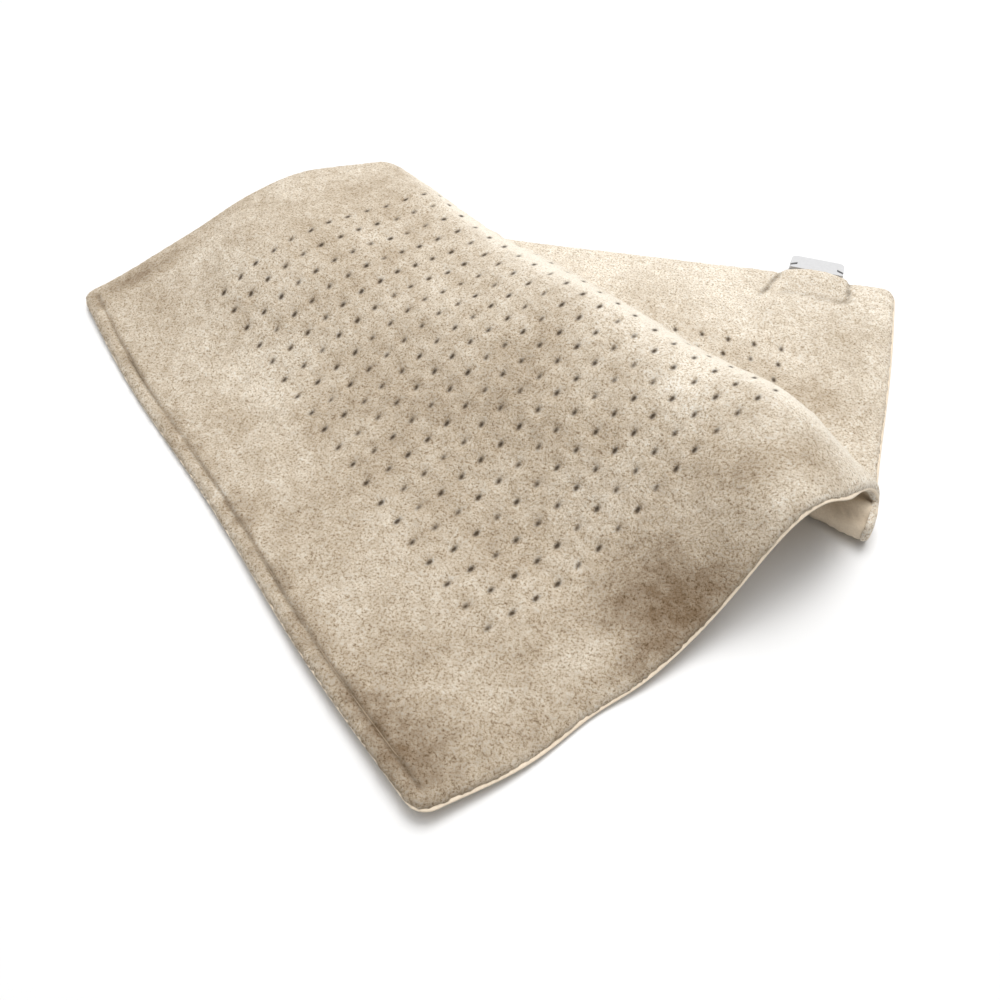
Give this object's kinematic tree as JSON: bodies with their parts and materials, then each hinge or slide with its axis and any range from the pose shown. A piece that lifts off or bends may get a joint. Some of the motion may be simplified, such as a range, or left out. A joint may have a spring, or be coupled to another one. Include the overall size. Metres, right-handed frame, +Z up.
{
  "type": "heating pad",
  "caption": "Soft plush electric heating pad lying in a wedge-shaped pleat, with a smooth back, quilted heating area and a small white socket for a detachable hand controller.",
  "frame": {"origin": "middle of the bounding box in plan, on the floor", "axes": "+Z up; +Y the way the socket faces, along the length of the pad's far part; +X across it, toward the socket"},
  "size_m": [0.3604, 0.3104, 0.0438],
  "materials": {
    "plush": "short dense micro-plush pile, beige",
    "backing": "smooth knitted polyester, light beige",
    "felt": "needle felt, off-white",
    "thread": "polyester thread, tan",
    "wire_sleeve": "silicone insulation, off-white",
    "steel": "plain steel",
    "brass": "drawn brass",
    "white_plastic": "satin moulded, white",
    "grey_plastic": "matte moulded, light grey",
    "dark_plastic": "matte moulded, dark grey"
  },
  "bodies": {
    "pad": {"plush_cover": "plush", "back_cover": "backing", "felt_carrier": "felt", "heating_wire_first": "wire_sleeve", "heating_wire_second": "wire_sleeve", "quilting_thread": "thread", "hem_thread": "thread", "thermostat_first": "steel", "thermostat_second": "steel", "thermal_fuse": "dark_plastic", "lead_wire_long": "wire_sleeve", "lead_wire_short": "wire_sleeve", "socket_upper_shell": "white_plastic", "socket_lower_shell": "white_plastic", "contact_block": "dark_plastic", "contact_pin_left": "brass", "contact_pin_right": "brass", "shell_pin_left": "steel", "shell_pin_right": "steel", "tab_pin_left": "steel", "tab_pin_right": "steel"},
    "left_tab": {"release_tab_left": "grey_plastic", "tab_spring_left": "steel"},
    "right_tab": {"release_tab_right": "grey_plastic", "tab_spring_right": "steel"}
  },
  "joints": [
    {"name": "left_tab_squeeze", "type": "hinge", "parent": "pad", "child": "left_tab", "pos_m": [0.13113, 0.15191, 0.003], "axis": [0, 0, 1], "range_deg": [0, 7], "stiffness_Nm_per_rad": 0.05},
    {"name": "right_tab_squeeze", "type": "hinge", "parent": "pad", "child": "right_tab", "pos_m": [0.15353, 0.15191, 0.003], "axis": [0, 0, -1], "range_deg": [0, 7], "stiffness_Nm_per_rad": 0.05}
  ]
}
